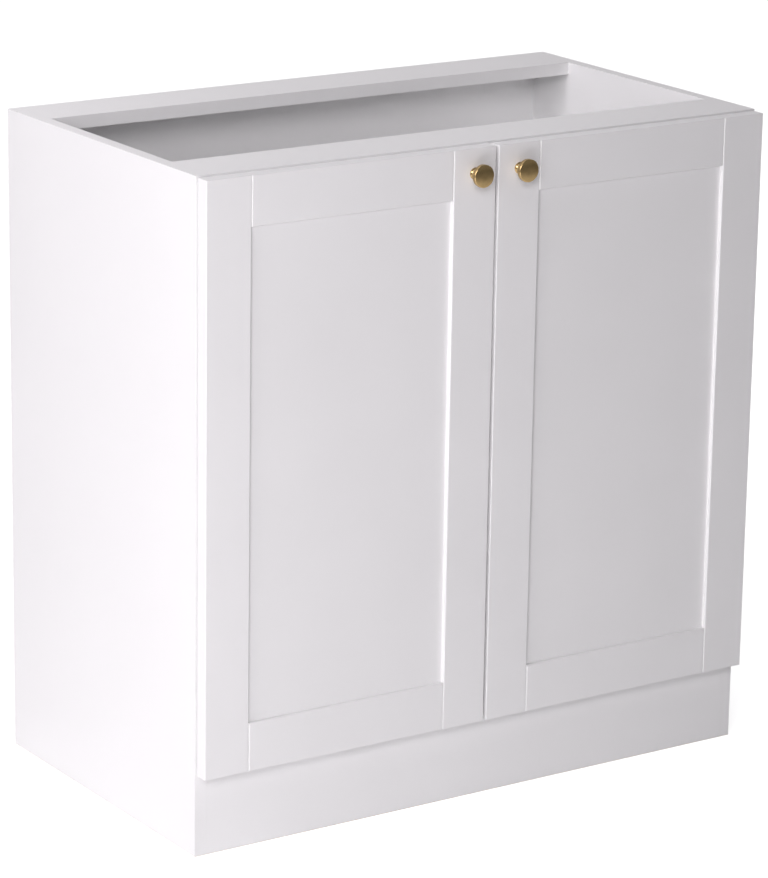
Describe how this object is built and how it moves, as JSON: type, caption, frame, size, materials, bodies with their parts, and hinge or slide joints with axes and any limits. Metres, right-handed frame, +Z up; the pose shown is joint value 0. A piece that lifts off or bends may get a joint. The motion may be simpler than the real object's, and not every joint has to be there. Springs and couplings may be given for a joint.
{
  "type": "sink base cabinet",
  "caption": "Free-standing white sink base cabinet: framed doors on concealed cup hinges, open top with flat rails, thin back and a plinth between full-depth sides.",
  "frame": {"origin": "on the floor, in the middle of the whole footprint, knobs included", "axes": "+X to the right seen from the front, +Y to the wall, +Z up; the doors face -Y"},
  "size_m": [0.8, 0.487, 0.82],
  "materials": {
    "white_board": "smooth white melamine-faced board",
    "white_back": "white-faced hardboard",
    "painted_door": "satin white lacquered frame",
    "clear_bumper": "clear soft plastic",
    "brass": "polished brass",
    "dowel_wood": "plain beech",
    "zinc": "zinc die-cast, nickel-plated",
    "nickel_steel": "nickel-plated steel"
  },
  "bodies": {
    "cabinet": {"back_panel": "white_back", "back_panel_nails": "nickel_steel", "bottom_panel": "white_board", "cam_bolts": "nickel_steel", "cam_housings": "zinc", "front_top_rail": "white_board", "joint_dowels": "dowel_wood", "left_hinge_arm_pins": "nickel_steel", "left_hinge_arm_screws": "nickel_steel", "left_hinge_arms": "nickel_steel", "left_hinge_mounting_plates": "zinc", "left_hinge_plate_screws": "nickel_steel", "left_side_panel": "white_board", "plinth_board": "white_board", "rear_top_rail": "white_board", "right_hinge_arm_pins": "nickel_steel", "right_hinge_arm_screws": "nickel_steel", "right_hinge_arms": "nickel_steel", "right_hinge_mounting_plates": "zinc", "right_hinge_plate_screws": "nickel_steel", "right_side_panel": "white_board"},
    "left_door": {"left_door_hinge_stile": "painted_door", "left_door_knob_stile": "painted_door", "left_door_top_rail": "painted_door", "left_door_bottom_rail": "painted_door", "left_door_centre_panel": "painted_door", "left_hinge_cups": "zinc", "left_hinge_cup_screws": "nickel_steel", "left_hinge_cup_pins": "nickel_steel", "left_knob": "brass", "left_knob_screw": "nickel_steel", "left_door_bumpers": "clear_bumper"},
    "left_outer_links": {"left_hinge_outer_links": "nickel_steel"},
    "left_inner_links": {"left_hinge_inner_links": "nickel_steel"},
    "right_door": {"right_door_hinge_stile": "painted_door", "right_door_knob_stile": "painted_door", "right_door_top_rail": "painted_door", "right_door_bottom_rail": "painted_door", "right_door_centre_panel": "painted_door", "right_hinge_cups": "zinc", "right_hinge_cup_screws": "nickel_steel", "right_hinge_cup_pins": "nickel_steel", "right_knob": "brass", "right_knob_screw": "nickel_steel", "right_door_bumpers": "clear_bumper"},
    "right_outer_links": {"right_hinge_outer_links": "nickel_steel"},
    "right_inner_links": {"right_hinge_inner_links": "nickel_steel"}
  },
  "joints": [
    {"name": "left_outer_links_turn", "type": "hinge", "parent": "cabinet", "child": "left_outer_links", "pos_m": [-0.3593, -0.1846, 0.46], "axis": [0, 0, 1], "range_deg": [0, 28.71]},
    {"name": "left_door_swing", "type": "hinge", "parent": "left_outer_links", "child": "left_door", "pos_m": [-0.3874, -0.2063, 0.46], "axis": [0, 0, -1], "range_deg": [0, 123.69]},
    {"name": "left_inner_links_turn", "type": "hinge", "parent": "cabinet", "child": "left_inner_links", "pos_m": [-0.359, -0.1999, 0.46], "axis": [0, 0, 1], "range_deg": [0, 22.25]},
    {"name": "right_outer_links_turn", "type": "hinge", "parent": "cabinet", "child": "right_outer_links", "pos_m": [0.3593, -0.1846, 0.46], "axis": [0, 0, -1], "range_deg": [0, 28.71]},
    {"name": "right_door_swing", "type": "hinge", "parent": "right_outer_links", "child": "right_door", "pos_m": [0.3874, -0.2063, 0.46], "axis": [0, 0, 1], "range_deg": [0, 123.69]},
    {"name": "right_inner_links_turn", "type": "hinge", "parent": "cabinet", "child": "right_inner_links", "pos_m": [0.359, -0.1999, 0.46], "axis": [0, 0, -1], "range_deg": [0, 22.25]}
  ],
  "couplings": [
    {"joint": "left_outer_links_turn", "follows": "left_door_swing", "ratio": 0.23195},
    {"joint": "left_inner_links_turn", "follows": "left_door_swing", "ratio": 0.17972},
    {"joint": "right_outer_links_turn", "follows": "right_door_swing", "ratio": 0.23195},
    {"joint": "right_inner_links_turn", "follows": "right_door_swing", "ratio": 0.17972}
  ]
}
